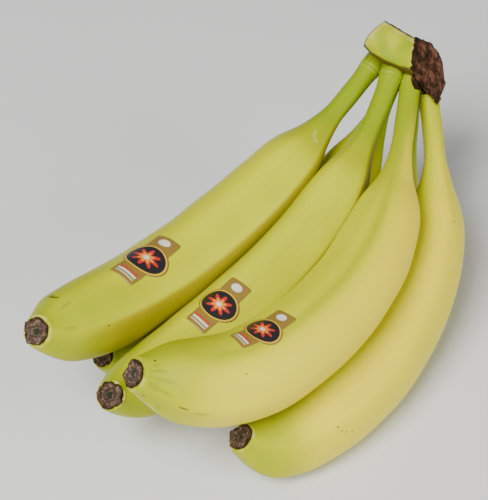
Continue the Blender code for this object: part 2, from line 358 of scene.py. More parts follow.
@dataclass(frozen=True)
class SkinFinish:
    """Colours of the peel, of its dried crown and of its blossom ends.

    A scale stretches its noise along the finger and across it, or along the crown's strands, and
    a cover is how much of the colour below it hides. Each row of blemishes gives a kind, its
    colour and its cover.
    """

    yellow: Colour = (0.69, 0.70, 0.0)
    lime: Colour = (0.44, 0.47, 0.0)
    green: Colour = (0.28, 0.38, 0.0)
    # Tan: ripening colour, also used as painted highlight on the finger's bright side.
    tan: Colour = (0.88, 0.74, 0.02)
    # Painted shade: the olive that stands for shadow on the flanks.
    painted_shade: Colour = (0.35, 0.27, 0.0)
    pale: Colour = (0.66, 0.55, 0.16)
    # Dark brown for scars and freckles, and painted shadow below the crown's lip.
    scar_and_shadow: Colour = (0.060, 0.030, 0.010)
    bark_dark: Colour = (0.016, 0.007, 0.005)
    bark: Colour = (0.058, 0.025, 0.017)
    bark_light: Colour = (0.22, 0.088, 0.052)
    cork_rim: Colour = (0.030, 0.014, 0.009)
    cork: Colour = (0.085, 0.048, 0.036)
    cork_light: Colour = (0.30, 0.20, 0.145)
    heart: Colour = (0.032, 0.036, 0.026)
    sheen: Colour = (1.0, 0.93, 0.35)
    specular: float = 0.22
    roughness: float = 0.42
    dry_roughness: float = 0.82
    relief: float = 0.0006
    cloud_scale: tuple = (12.0, 30.0, 30.0)
    streak_scale: tuple = (25.0, 420.0, 420.0)
    freckle_scale: tuple = (260.0, 420.0, 420.0)
    smear_scale: tuple = (260.0, 420.0, 300.0)
    fibre_scale: tuple = (1300.0, 420.0, 900.0)
    patch_scale: tuple = (330.0, 170.0, 260.0)
    # How much the olive painted shade covers.
    painted_shade_cover: float = 0.85
    freckle_cover: float = 0.28
    pale_cover: float = 0.9
    # How much the dark brown of scars and painted shadow covers.
    scar_and_shadow_cover: float = 0.92
    blemishes: tuple = (
        (BlemishKind.SCRATCH, (0.05, 0.030, 0.002), 0.85),
        (BlemishKind.SPOT, (0.035, 0.020, 0.004), 0.9),
        (BlemishKind.BRUISE, (0.24, 0.21, 0.01), 0.42),
        # Painted highlight: pale cream, for where light catches the skin.
        (BlemishKind.PAINTED_HIGHLIGHT, (0.85, 0.85, 0.30), 0.30),
        # Painted highlight along a ridge's edge: pale cream brown.
        (BlemishKind.RIDGE_HIGHLIGHT, (0.70, 0.58, 0.30), 0.75))

    def make(self) -> bpy.types.Material:
        """Build the material from the marks of the meshes.

        Returns:
            The skin's material.
        """
        tree = ShaderTree("banana_skin")
        flow = tree.place("flow")
        colour, height = self.peel(tree, flow)
        bark_colour, bark_height, bark_edge = self.bark_layer(tree, tree.mark("dried"))
        cork_colour, cork_height, cork_edge = self.cork_layer(tree, tree.mark("cork"))
        colour = tree.layers(self.spotted(tree, flow, colour), (bark_edge, bark_colour),
                             (cork_edge, cork_colour))
        rough_skin = bark_edge.most(cork_edge)
        roughness = self.roughness + (self.dry_roughness - self.roughness) * rough_skin
        relief = height * (1 - rough_skin) + bark_height * bark_edge + cork_height * cork_edge
        return tree.finish(colour, roughness, relief, self.relief, {
            "Specular IOR Level": self.specular, "Specular Tint": (*self.sheen, 1.0)})

    def peel(self, tree: ShaderTree, flow: Wire) -> tuple[Wire, Wire]:
        """Mix the fresh peel: yellow, lime toward both ends, tan where it has ripened and as painted
        highlight on the bright side, and olive painted shade on the flanks that lie in shadow.

        Args:
            tree: The material's tree.
            flow: Position on the unrolled skin, in metres.

        Returns:
            The colour and the fine relief.
        """
        unripe = tree.mark("unripe")
        cloud = tree.noise(tree.spread(flow, self.cloud_scale), 1.0, 3.0, 0.55)
        streak = tree.noise(tree.spread(flow, self.streak_scale), 1.0, 3.0, 0.6)
        green = unripe + (cloud - 0.5) * 0.40 + (streak - 0.5) * 0.16
        # Tan band: partly ripening colour and partly painted highlight on the bright side.
        tan_and_highlight_cover = (tree.mark("tan_and_highlight") + (cloud - 0.5) * 0.4).rise(0.0, 1.0)
        # Painted shade: an olive tint on the flanks that lie in shadow.
        shade = (tree.mark("painted_shade") + (cloud - 0.5) * 0.3).rise(0.0, 1.0)
        freckle, chance = tree.cells(tree.spread(flow, self.freckle_scale))
        freckle = freckle.within(0.10, 0.06) * chance.rise(0.80, 0.84) * unripe.within(0.6, 0.2)
        pale = tree.mark("pale")
        smear = tree.noise(tree.spread(flow, self.smear_scale), 1.0, 4.0, 0.6)
        dry = (pale + (smear - 0.5) * 1.6 * pale.rise(0.02, 0.2)).rise(0.05, 1.0)
        # Dark brown: scars, and painted shadow on and below the crown's lip.
        scar_and_shadow = tree.mark("scar_and_shadow")
        brown = (scar_and_shadow + (streak - 0.5) * 0.5 * scar_and_shadow.rise(0.0, 0.3)).rise(0.05, 0.95)
        colour = tree.layers(
            self.yellow, (green.rise(0.0, 0.55), self.lime), (green.rise(0.45, 1.0), self.green),
            (tan_and_highlight_cover, self.tan), (shade * self.painted_shade_cover, self.painted_shade),
            (freckle * self.freckle_cover, self.scar_and_shadow), (dry * self.pale_cover, self.pale),
            (brown * self.scar_and_shadow_cover, self.scar_and_shadow))
        return colour, streak * 0.08 + cloud * 0.05

    def spotted(self, tree: ShaderTree, flow: Wire, colour: Wire) -> Wire:
        """Add the small marks, each an uneven ellipse along the finger.

        Args:
            tree: The material's tree.
            flow: Position on the unrolled skin, in metres.
            colour: The peel's colour.

        Returns:
            The colour with the marks.
        """
        ragged = (tree.noise(flow, 1400.0, 2.0, 0.5) - 0.5) * 1.1
        for kind, tint, strength in self.blemishes:
            nearest = None
            for mark in (mark for mark in BLEMISHES if mark.kind is kind):
                scale = np.array([mark.length, mark.width, mark.width]) / 2 * MM
                centre = unroll(FINGERS[mark.finger], mark.station, radians(mark.around)) * MM
                offset = tree.wire("ShaderNodeVectorMath", {"operation": "MULTIPLY_ADD"},
                                   {0: flow, 1: tuple(1 / scale), 2: tuple(-centre / scale)})
                reach = tree.wire("ShaderNodeVectorMath", {"operation": "LENGTH"}, {0: offset}, "Value")
                nearest = reach if nearest is None else nearest.least(reach)
            colour = tree.mix((1 - (nearest + ragged).rise(0.55, 1.35)) * strength, colour, tint)
        return colour

    def bark_layer(self, tree: ShaderTree, dried: Wire) -> tuple[Wire, Wire, Wire]:
        """Mix the dried crown: dark fibres with lighter torn strands.

        Args:
            tree: The material's tree.
            dried: 1 where the crown has dried.

        Returns:
            The colour, the relief and the layer's own edge.
        """
        strand = tree.place("strand")
        fibre = tree.noise(tree.spread(strand, self.fibre_scale), 1.0, 5.0, 0.72)
        patch = tree.noise(tree.spread(strand, self.patch_scale), 1.0, 3.0, 0.6)
        across, _, _ = tree.axes(strand)
        tone = fibre * 0.8 + patch * 0.8 - 0.36 + across.rise(0.004, 0.020) * 0.10
        colour = tree.ramp(tone, ((0.36, self.bark_dark), (0.50, self.bark), (0.66, self.bark_light)))
        edge = (dried + (patch - 0.5) * 0.3).rise(0.42, 0.58)
        return colour, fibre * 2.2, edge

    def cork_layer(self, tree: ShaderTree, cork: Wire) -> tuple[Wire, Wire, Wire]:
        """Mix the blossom end: a dark rim, pinkish corky rings and a dark heart.

        Args:
            tree: The material's tree.
            cork: 0 on the peel, 1 at the rim and 2 at the middle of the end.

        Returns:
            The colour, the relief and the layer's own edge.
        """
        where = tree.wire("ShaderNodeTexCoord", {}, {}, "Object")
        crumb = tree.noise(where, 900.0, 4.0, 0.65)
        patch = tree.noise(where, 380.0, 3.0, 0.55)
        ring = cork + (patch - 0.5) * 1.1
        colour = tree.ramp(ring / 2, (
            (0.50, self.cork_rim), (0.60, self.cork), (0.78, self.cork), (0.95, self.heart)))
        wave = 0.5 + 0.5 * ring.math("SINE", ring * 15.0)
        pale = (crumb + wave * 0.22).rise(0.60, 0.82) * ring.rise(1.05, 1.20) * (1 - ring.rise(1.65, 1.95))
        colour = tree.mix(pale * self.pale_cover, colour, self.cork_light)
        edge = (cork + (patch - 0.5) * 0.16).rise(0.86, 0.95)
        return colour, crumb * 1.6, edge


@dataclass(frozen=True)
class Peel:
    """Sizes that all the fingers share, in millimetres or as shares of a finger's length.

    A pair of stations whose name ends in rise or fall is where something starts and is complete,
    and one that ends in swell is the middle and the width of a bell.
    """

    stem_radius: float = 4.9
    curl_stations: tuple = (0.0, 0.2, 0.42, 0.68, 1.0)
    nose_start: float = 0.87
    shift_start: float = 0.80
    shift_end: float = 0.97
    centre_steps: int = 360
    root: float = -0.045
    girth: tuple = (
        (-0.045, 1.0, 0.0), (0.0, 1.12, 0.0), (0.05, 1.0, 0.0), (0.10, 1.0, 0.0), (0.16, 1.04, 0.0),
        (0.22, 0.79, 0.21), (0.29, 0.10, 0.70), (0.38, 0.0, 0.88), (0.50, 0.0, 0.95), (0.68, 0.0, 1.0),
        (0.82, 0.0, 0.97), (0.89, 0.0, 0.90), (0.94, 0.0, 0.75), (0.97, 0.0, 0.535), (0.985, 0.0, 0.42))
    neck_stations: tuple = (0.0, 0.10, 0.25, 0.60)
    neck_shares: tuple = (0.0, 0.6, 1.0, 0.0)
    ridge_width: float = 17.0
    ridge_height: float = 0.046
    ridge_at_ends: float = 0.034
    ridge_stations: tuple = (0.25, 0.90)
    ridge_rise: tuple = (0.02, 0.2)
    neck_swell: tuple = (0.27, 0.08)
    nose_swell: tuple = (0.94, 0.05)
    dent: float = 0.15
    dent_size: float = 34.0
    dent_rise: tuple = (0.12, 0.3)
    collar_width: float = 0.40
    collar_height: float = 0.22
    stripe_width: float = 9.0
    # How fast the sides of the tan band fade; the band is partly painted highlight.
    tan_and_highlight_fade: float = 0.45
    # How fast the sides of the olive painted shade band fade.
    painted_shade_fade: float = 0.11
    green_nose: float = 0.50
    green_hollows: float = 0.16
    stem_green_fall: tuple = (0.10, 0.34)
    nose_green_rise: tuple = (0.74, 0.97)
    stripe_rise: tuple = (0.2, 0.4)
    stripe_fall: tuple = (0.84, 0.94)
    patch_rise: tuple = (0.02, 0.3)
    patch_fall: tuple = (0.80, 0.99)
    torn_fall: tuple = (0.10, 0.14)
    cap_start: float = 0.985
    cap_radius: float = 5.4
    sides: int = 144


PEEL = Peel()


@dataclass(frozen=True)
class Ridge:
    """A soft edge along a finger: its angle near the neck and near the tip, and how strong it is.

    Green is how much less ripe its skin is.
    """

    near: float
    far: float
    strength: float = 1.0
    green: float = 0.0


def five_ridges(near: float, far: float, strength: float = 1.0) -> tuple[Ridge, ...]:
    """Return five even ridges from the first one's two angles."""
    return tuple(Ridge(near + 72.0 * i, far + 72.0 * i, strength) for i in range(5))


@dataclass(frozen=True)
class Finger:
    """One banana: where its stem starts, which way it sets off, how it curls and how ripe it is.

    Lengths are in millimetres and angles in degrees. The curl is the turn that a whole finger
    would make at the rate it has at each curl station. The nose bends by its own angle, toward
    an angle counted round the finger from the hollow side, and it is shifted toward the hollow
    side and sideways. The neck says how much further along the neck sits. Unripe is how green
    the skin is, and green stem how green the stem is. Two bands run along the finger: a tan
    one, partly ripening colour and partly painted highlight on the finger's bright side, and an
    olive one of painted shade on the flank that lies in shadow. Each gives how strong it is, its
    middle's angle near the neck and near the tip, and its half width.
    Collars are scars round the stem, in millimetres from the crown.
    """

    root: tuple[float, float, float]
    heading: float
    dive: float
    twist: float
    curl: tuple[float, ...]
    nose: float
    nose_toward: float
    nose_shift: tuple[float, float]
    length: float
    girth: float
    neck: float
    ridges: tuple[Ridge, ...]
    unripe: float = 0.0
    green_stem: float = 1.0
    # A tan band: partly ripening colour and partly painted highlight on the bright side.
    tan_and_highlight: tuple[float, float, float, float] = (0.0, 0.0, 0.0, 60.0)
    # Olive painted shade on the flank that lies in shadow.
    painted_shade: tuple[float, float, float, float] = (0.0, 0.0, 0.0, 60.0)
    collars: tuple[float, ...] = (3.0, 5.2)
    seed: int = 1


FINGERS = {
    "upper_left": Finger(
        (55.9, 85.8, 87.7), -131.8, 27.3, 1.3, curl=(58, 24, 48, 70, 19), nose=29.0, nose_toward=-13,
        nose_shift=(-3.3, 4.9), length=221.2, girth=18.5, neck=-0.019,
        ridges=(Ridge(-76, -66, 1.8), Ridge(-8, 0, 0.5), Ridge(64, 72, 0.8), Ridge(140, 144),
                Ridge(-150, -142)),
        # Painted shade on the shadowed lower flank.
        unripe=0.06, painted_shade=(1.1, -127.0, -122.0, 59.0), collars=(2.2, 4.2), seed=11),
    "upper_middle": Finger(
        (64.2, 78.1, 89.8), -109.7, 31.3, 46.9, curl=(76, 30, 63, 33, 75), nose=58.4, nose_toward=-66,
        nose_shift=(-2.5, 7.0), length=213.5, girth=17.2, neck=-0.006, ridges=five_ridges(-98, -98, 0.9),
        # Painted shade on the shadowed lower flank.
        unripe=0.08, painted_shade=(1.0, -150.0, -150.0, 50.0), collars=(2.7, 4.7), seed=12),
    "upper_right": Finger(
        (74.0, 80.5, 86.6), -99.7, 18.0, 67.2, curl=(-4, 22, 105, 79, 324), nose=39.4, nose_toward=-135,
        nose_shift=(3.2, 3.6), length=237.2, girth=19.4, neck=0.032,
        ridges=(Ridge(-62, -76, 0.7, 0.45), Ridge(10, -4, 0.8), Ridge(84, 72), Ridge(154, 158),
                Ridge(-134, -148, 0.8)),
        # Tan band: ripening colour and painted highlight on the bright side.
        green_stem=0.85, tan_and_highlight=(1.0, -145.0, -148.0, 64.0), collars=(5.6, 7.2), seed=13),
    "lower_right": Finger(
        (82.2, 79.2, 77.1), -82.6, 31.8, 71.9, curl=(15, 71, 91, 85, 261), nose=38.8, nose_toward=-76,
        nose_shift=(-4.2, 2.4), length=222.3, girth=18.1, neck=-0.012, ridges=five_ridges(-87, -108, 0.9),
        # Tan band: ripening colour and painted highlight on the bright side.
        green_stem=0.3, tan_and_highlight=(1.1, -122.0, -124.0, 66.0), seed=14),
    "lower_left": Finger(
        (68.4, 89.8, 87.8), -117.2, 51.4, 28.3, curl=(58, 83, 67, 88, 65), nose=23.8, nose_toward=-44,
        nose_shift=(0.0, 2.9), length=220.2, girth=18.1, neck=-0.052, ridges=five_ridges(18, 18),
        unripe=0.15, seed=15),
    "lower_middle": Finger(
        (74.9, 88.1, 76.6), -88.4, 55.3, 42.2, curl=(59, 102, 110, 69, 44), nose=10.6, nose_toward=0,
        nose_shift=(0.0, 0.0), length=189.5, girth=17.3, neck=0.019, ridges=five_ridges(18, 18),
        unripe=0.15, seed=16),
}


def unroll(finger: Finger, station: Array, around: Array) -> Array:
    """Return positions on the finger's skin as if it were a straight rod, in millimetres."""
    along = np.asarray(station * finger.length)
    place = [along, finger.girth * np.cos(around) + 0 * along, finger.girth * np.sin(around) + 0 * along]
    return np.stack(place, -1) + finger.seed * 37.0


@dataclass(frozen=True)
class Blemish:
    """A small mark on a finger: its place and its length along and its width round the finger."""

    kind: BlemishKind
    finger: str
    station: float
    around: float
    length: float
    width: float


# For each kind and finger: station, angle, length and width of its marks
BLEMISH_PLACES = (
    (BlemishKind.SCRATCH, "upper_left", (
        (0.9400, 36.0, 1.2, 5.5), (0.9440, 24.0, 1.0, 7.5))),
    (BlemishKind.SPOT, "upper_left", (
        (0.8945, -66.5, 0.9, 0.9),)),
    # Painted highlights where light catches the neck of the upper left finger.
    (BlemishKind.PAINTED_HIGHLIGHT, "upper_left", (
        (0.2190, -26.0, 3.0, 2.6), (0.2270, -32.0, 3.0, 3.4), (0.2330, -42.0, 2.4, 4.6))),
    (BlemishKind.SPOT, "upper_right", (
        (0.9800, -72.0, 1.1, 1.6), (0.9800, 178.0, 1.1, 1.4), (0.8282, -101.0, 0.7, 0.5),
        (0.3505, -39.0, 0.8, 0.8))),
    (BlemishKind.BRUISE, "upper_right", (
        (0.9740, -100.0, 6.0, 3.0), (0.9640, -118.0, 10.0, 3.2), (0.9660, -140.0, 9.0, 2.6),
        (0.9542, 179.0, 2.4, 2.6), (0.9830, 166.0, 2.4, 4.0), (0.9720, 150.0, 5.0, 7.0),
        (0.9780, -85.0, 3.0, 4.0), (0.9780, -140.0, 4.5, 8.0), (0.8966, -154.5, 5.5, 1.8))),
    (BlemishKind.BRUISE, "upper_left", (
        (0.9500, -10.0, 6.0, 3.0), (0.9620, -58.0, 5.0, 3.5))),
    # Painted highlight: a pale line along the upper right finger's lower edge next to its blossom end.
    (BlemishKind.RIDGE_HIGHLIGHT, "upper_right", (
        (0.9815, 158.0, 4.5, 1.5), (0.9690, 160.0, 5.5, 1.4), (0.9550, 162.0, 5.5, 1.2))),
    (BlemishKind.SCRATCH, "upper_right", (
        (0.9240, -151.5, 3.8, 0.9),)),
    (BlemishKind.SPOT, "lower_right", (
        (0.8302, -109.5, 0.8, 1.0), (0.8242, -118.0, 0.8, 0.8), (0.8155, -124.5, 0.9, 0.6),
        (0.8041, -129.5, 0.7, 0.7), (0.3116, -103.5, 1.4, 0.6))),
    (BlemishKind.BRUISE, "lower_right", (
        (0.2962, -102.0, 1.6, 1.0),)),
)
BLEMISHES = tuple(Blemish(kind, finger, *place) for kind, finger, places in BLEMISH_PLACES
                  for place in places)


class Body:
    """The smooth body of a finger.

    Its middle line is a curve in one plane whose turning rate is read between the curl
    stations, and whose nose is bent and shifted out of that plane. A point of the skin lies one
    radius from that line, at an angle from the hollow side.
    """

    def __init__(self, finger: Finger) -> None:
        """Work out the middle line and the directions that travel along it.

        Args:
            finger: The finger's sizes and angles.
        """
        self.finger = finger
        heading, dive, twist = np.radians([finger.heading, finger.dive, finger.twist])
        ahead = np.array([np.cos(dive) * np.cos(heading), np.cos(dive) * np.sin(heading), -np.sin(dive)])
        above = np.array([0.0, 0.0, 1.0]) - ahead * ahead[2]
        above /= np.linalg.norm(above)
        inward = np.cos(twist) * above + np.sin(twist) * np.cross(ahead, above)
        self.steps = np.linspace(0.0, 1.0, PEEL.centre_steps + 1)
        rate = np.radians(np.interp(self.steps, PEEL.curl_stations, finger.curl))
        turn = (np.concatenate([[0.0], np.cumsum((rate[1:] + rate[:-1]) / 2)]) / PEEL.centre_steps)[:, None]
        run = np.cos(turn) * ahead + np.sin(turn) * inward
        hollow = np.cos(turn) * inward - np.sin(turn) * ahead
        side = np.broadcast_to(np.cross(ahead, inward), run.shape)
        self.run, self.hollow, self.side = self.bend_nose(run, hollow, side)
        hops = (self.run[1:] + self.run[:-1]) / 2 * finger.length / PEEL.centre_steps
        path = np.array(finger.root) + np.concatenate([np.zeros((1, 3)), np.cumsum(hops, axis=0)])
        shift = ease(PEEL.shift_start, PEEL.shift_end, self.steps)[:, None]
        self.path = path + shift * (finger.nose_shift[0] * self.hollow + finger.nose_shift[1] * self.side)

    def bend_nose(self, run: Array, hollow: Array, side: Array) -> list[Array]:
        """Turn the directions about one axis, by an angle that grows as the square of the way.

        Args:
            run: The middle line's direction at each step.
            hollow: The direction of the hollow side.
            side: The direction across both.

        Returns:
            The three turned directions.
        """
        share = np.clip((self.steps - PEEL.nose_start) / (1.0 - PEEL.nose_start), 0.0, 1.0)
        angle = (radians(self.finger.nose) * share**2)[:, None]
        first = np.argmax(share > 0.0)
        toward = radians(self.finger.nose_toward)
        axis = np.cross(run[first], np.cos(toward) * hollow[first] + np.sin(toward) * side[first])
        return [line * np.cos(angle) + np.cross(axis, line) * np.sin(angle)
                + axis * (line @ axis)[:, None] * (1 - np.cos(angle)) for line in (run, hollow, side)]

    def read(self, values: Array, station: Array) -> Array:
        """Read a position or a direction between the steps."""
        return np.stack([np.interp(station, self.steps, values[:, axis]) for axis in range(3)], -1)

    def centre(self, station: Array) -> Array:
        """Return the middle line's point at each station; before 0 it runs on straight."""
        before = np.minimum(station, 0.0)[..., None] * self.finger.length * self.run[0]
        return self.read(self.path, station) + before

    def outward(self, station: Array, around: Array) -> Array:
        """Return the direction away from the middle line."""
        out = (np.cos(around)[..., None] * self.read(self.hollow, station)
               + np.sin(around)[..., None] * self.read(self.side, station))
        return out / np.linalg.norm(out, axis=-1, keepdims=True)

    def plain_girth(self, station: Array) -> Array:
        """Return the radius without its ridges."""
        rows = np.array(PEEL.girth)
        radius = rows[:, 1] * PEEL.stem_radius + rows[:, 2] * self.finger.girth
        knots = rows[:, 0] + self.finger.neck * np.interp(rows[:, 0], PEEL.neck_stations, PEEL.neck_shares)
        return smooth_curve(knots, radius, station)

    def on_ridge(self, ridge: Ridge, station: Array, around: Array,
                 width: float = PEEL.ridge_width) -> Array:
        """Return 1 on a ridge's crest, falling off round the finger as a bell of a width."""
        crest = np.radians(np.interp(station, PEEL.ridge_stations, (ridge.near, ridge.far)))
        away = (around - crest + pi) % (2 * pi) - pi
        return bell(away, 0.0, radians(width))

    def girth(self, station: Array, around: Array) -> Array:
        """Return the radius, with ridges that stand higher on the neck and the nose.

        The factor is one plus the height times the sum of the ridges' bells less its mean.

        Args:
            station: The points' stations.
            around: The points' angles.

        Returns:
            The radius at each point, in millimetres.
        """
        ridges = self.finger.ridges
        crest = sum(ridge.strength * self.on_ridge(ridge, station, around) for ridge in ridges)
        mean = sum(ridge.strength for ridge in ridges) * PEEL.ridge_width * pi**0.5 / 360.0
        ends = np.maximum(bell(station, *PEEL.neck_swell), bell(station, *PEEL.nose_swell))
        height = (PEEL.ridge_height + PEEL.ridge_at_ends * ends) * ease(*PEEL.ridge_rise, station)
        return self.plain_girth(station) * (1 + height * (crest - mean))

    def surface(self, station: Array, around: Array, lift: Any = 0.0) -> Array:
        """Return points on the skin with its soft dents, or lifted off it by a distance."""
        out = self.outward(station, around)
        plain = self.centre(station) + self.girth(station, around)[..., None] * out
        waves = Waves(self.finger.seed, PEEL.dent_size).at(plain)
        dents = waves * PEEL.dent * ease(*PEEL.dent_rise, station)
        return plain + (dents + lift)[..., None] * out


@dataclass(frozen=True)
class Crown:
    """The crown that the stems grow from, and the plane that its face lies in.

    Each row of edges gives its low edge, its top edge (across the row of stems, up from them)
    and its half depth. Torn is the outline of its dried part in the same plane: the left edge
    as (up, across) and the lower edge as (across, up). The lip is the brown band below its face,
    partly scarred skin and partly painted shadow under the face's edge, and its width grows
    between its two ends. Torn relief gives how far the dried part stands out and how tall its
    coarse and its fine strands are.
    """

    centre: tuple = (69.6, 81.2, 86.2)
    row: tuple = (0.973, -0.220, -0.105)
    up: tuple = (0.192, 0.581, 0.786)
    edges: tuple = (
        (-20.5, 8.2, -12.6, 22.2, 8.0), (-9.5, 1.8, -5.5, 19.8, 12.0), (2.5, -0.4, 2.0, 17.4, 11.5),
        (9.5, -4.2, 10.5, 15.8, 11.0), (15.0, -8.0, 17.0, 9.0, 9.5), (19.0, -11.5, 21.0, -1.5, 5.5))
    torn_left: tuple = (
        (-12.0, 5.0), (-4.8, 5.0), (-2.0, 4.3), (0.2, 4.5), (1.1, 5.2), (1.7, 4.6), (3.2, 3.0),
        (4.7, 3.4), (7.5, 2.7), (10.8, 3.0), (13.6, 2.3), (16.8, 2.3), (24.0, 2.0))
    torn_low: tuple = (
        (3.0, 3.0), (4.4, 0.8), (4.8, -3.2), (6.4, -5.2), (8.6, -6.5), (10.4, -5.4), (12.2, -7.9),
        (14.0, -7.2), (15.2, -7.9), (17.0, -9.0), (19.3, -11.2), (20.2, -8.6), (21.0, -1.6))
    lip: tuple = ((-20.6, 9.4), (-16.9, 6.3), (-9.1, 3.3), (-2.4, 2.0), (4.1, 1.7), (7.0, 1.4))
    lip_ends: tuple = (-20.0, 8.0)
    lip_width: tuple = (0.60, 1.58)
    strand_tilt: float = 0.30
    bulge: float = 1.9
    rings: int = 230
    sides: int = 190
    squareness: float = 4.5
    ragged: float = 0.28
    torn_relief: tuple = (0.15, 0.34, 0.16)
    face_relief: float = 0.10
    cut_relief: float = 0.12
    lip_height: float = 0.35
    closing: tuple = (0.25, 0.5, 0.72, 0.88, 0.97)

    def plane(self, points: Array) -> Array:
        """Return how far points lie along the row, up and toward the front, in millimetres."""
        row = np.array(self.row)
        up = np.array(self.up)
        basis = np.linalg.inv(np.stack([row, up, np.cross(row, up)]))
        return (points - np.array(self.centre)) @ basis

    def strand(self, place: Array) -> Array:
        """Return places in the plane with the second axis along the dried strands."""
        across, up, front = np.moveaxis(place, -1, 0)
        return np.stack([across + self.strand_tilt * up, up, front], -1)

    def torn(self, place: Array) -> Array:
        """Return 1 inside the dried part and 0 outside, with a rise of half a millimetre.

        It is the product of two rises: across the left edge and across the lower edge. Both
        edges carry seeded waves, so that they are ragged.

        Args:
            place: Positions along the row, up and toward the front.

        Returns:
            One number a point.
        """
        ragged = self.ragged * Waves(74, 2.6).at(place)
        left = np.array(self.torn_left)
        low = np.array(self.torn_low)
        inside = place[..., 0] - np.interp(place[..., 1], left[:, 0], left[:, 1]) + ragged
        above = place[..., 1] - np.interp(place[..., 0], low[:, 0], low[:, 1]) + ragged
        return ease(-0.25, 0.25, inside) * ease(-0.25, 0.25, above)

    def on_lip(self, place: Array) -> Array:
        """Return 1 along the lip below the face, a bell that widens toward the dried part."""
        lip = np.array(self.lip)
        width = np.interp(place[..., 0], self.lip_ends, self.lip_width)
        away = place[..., 1] - np.interp(place[..., 0], lip[:, 0], lip[:, 1])
        return bell(away / width, 0.0, 1.0) * (place[..., 2] > -3.0)

    def block(self) -> tuple[Array, Array, Array, Array, Array, Array]:
        """Work out the smooth crown: a loft along the row whose sections are rounded blocks.

        Returns:
            Each ring's place along the rows of edges, its shrink toward an end and its middle,
            then the share toward the top edge round a ring, the points and their way outward.
        """
        rows = np.array(self.edges)
        closing = np.array(self.closing)
        last = len(rows) - 1.0
        rings = np.concatenate([0 * closing, np.linspace(0, last, self.rings), 0 * closing + last])
        shrink = np.concatenate([closing, np.ones(self.rings), closing[::-1]])
        low_row, low_up, top_row, top_up, depth = (
            smooth_curve(np.arange(len(rows)), rows[:, column], rings) for column in range(5))
        row, up = np.array(self.row), np.array(self.up)
        front = np.cross(row, up)
        low = low_row[:, None] * row + low_up[:, None] * up
        top = top_row[:, None] * row + top_up[:, None] * up
        around = circle(self.sides)
        power = 2.0 / self.squareness
        lift = np.sign(np.cos(around)) * np.abs(np.cos(around)) ** power
        reach = np.sign(np.sin(around)) * np.abs(np.sin(around)) ** power
        middle = (low + top) / 2
        half = (top - low) / 2
        spokes = (lift[None, :, None] * half[:, None] + (reach * depth[:, None])[..., None] * front)
        bulge = self.bulge * (1 - lift**2) * np.clip(1 - rings, 0.0, 1.0)[:, None] ** 2
        shape = middle[:, None] + spokes * shrink[:, None, None] - bulge[..., None] * row
        out = spokes / np.linalg.norm(spokes, axis=-1, keepdims=True)
        return rings, shrink, middle, lift, shape, out

    def build(self, material: bpy.types.Material) -> bpy.types.Object:
        """Make the crown with its torn part, its cut edge and the lip below its face, whose brown is
        partly scarred skin and partly painted shadow.

        Args:
            material: The skin's material.

        Returns:
            The crown.
        """
        rings, shrink, middle, lift, shape, out = self.block()
        place = self.plane(shape + np.array(self.centre))
        torn = self.torn(place)
        left_end = (rings < 0.001)[:, None] * 1.0
        cut = np.maximum(ease(0.88, 0.95, np.broadcast_to(lift, torn.shape)), left_end)
        dried = np.maximum(torn, cut)
        lip = self.on_lip(place) * (1 - dried)
        strand = self.strand(place)
        coarse = Waves(71, (2.6, 8.0, 5.0)).at(strand)
        fine = Waves(72, (1.0, 4.0, 2.0)).at(strand)
        raised, rough, crisp = self.torn_relief
        relief = (torn * (raised + rough * coarse + crisp * fine)
                  + (1 - dried) * self.face_relief * Waves(73, 9.0).at(shape)
                  + cut * (1 - torn) * self.cut_relief * coarse + self.lip_height * lip)
        share = np.minimum(1.0, 2 * (1 - shrink) + (shrink == 1.0))[:, None]
        shape = shape + out * (relief * share)[..., None]
        points = np.concatenate([shape.reshape(-1, 3), middle[[0, -1]]]) + np.array(self.centre)
        rim = 0.04 + 0.6 * ease(0.62, 0.86, lift) + 0.6 * bell(rings, 0.06, 0.14)[:, None]
        rim = (rim + 0.35 * bell(place[..., 0], 2.5, 1.2)) * (1 - cut) * (1 - torn)
        left_rim = bell(rings, 0.0, 0.03)[:, None]
        mottle = Waves(75, (7.0, 11.0, 9.0)).at(place)
        # Below the lip: painted shadow in brown, and greener skin.
        below = ease(0.4, 1.6, np.interp(place[..., 0], *np.array(self.lip).T) - place[..., 1])
        flow = self.plane(points)
        marks = {
            "flow": flow * MM,
            "strand": self.strand(flow) * MM,
            "unripe": Banana.to_points(np.clip(0.74 + 0.12 * mottle + 0.24 * below, 0.0, 1.0)),
            "pale": Banana.to_points(np.clip(0.85 * rim, 0.0, 1.0)),
            # Brown: the lip, partly scarred and partly painted shadow; painted shadow below it; a dark line
            # round the left end.
            "scar_and_shadow": Banana.to_points(np.clip(1.2 * lip + 0.4 * below + left_rim, 0.0, 1.0)),
            "dried": np.concatenate([dried.ravel(), [1.0, 1.0]]),
        }
        return make_piece("crown", points, tube_faces(len(rings), self.sides), material, marks)


